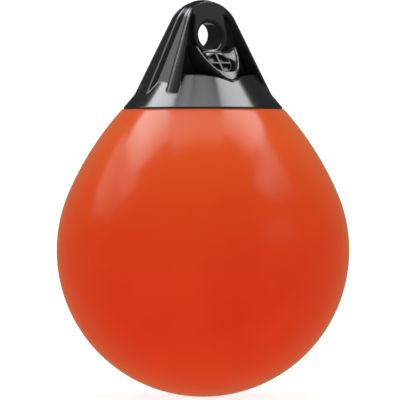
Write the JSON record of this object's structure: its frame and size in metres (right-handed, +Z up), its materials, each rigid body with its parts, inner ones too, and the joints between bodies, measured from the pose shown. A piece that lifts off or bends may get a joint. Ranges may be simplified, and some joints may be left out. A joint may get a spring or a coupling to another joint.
{
  "type": "inflatable mooring and marker buoy",
  "caption": "Pear-shaped inflatable vinyl buoy with a moulded black rope-hold cap, a round rope eye and a screw-plug inflation valve under it.",
  "frame": {"origin": "on the buoy's axis at the free-floating waterline", "axes": "+Z up the axis to the rope eye, -Y out of the eye on the valve's side, +X across the cap's web"},
  "size_m": [0.2899, 0.29, 0.3929],
  "materials": {
    "orange_vinyl": "glossy",
    "black_vinyl": "glossy",
    "valve_plastic": "satin"
  },
  "bodies": {
    "buoy": {"body_shell": "orange_vinyl", "rope_hold_cap": "black_vinyl", "valve_sleeve": "valve_plastic"},
    "plug": {"valve_plug": "valve_plastic"}
  },
  "joints": [
    {"name": "plug_draw", "type": "slide", "parent": "buoy", "child": "plug", "axis": [0, -0.7604, 0.6494], "range_m": [0, 0.03]}
  ]
}
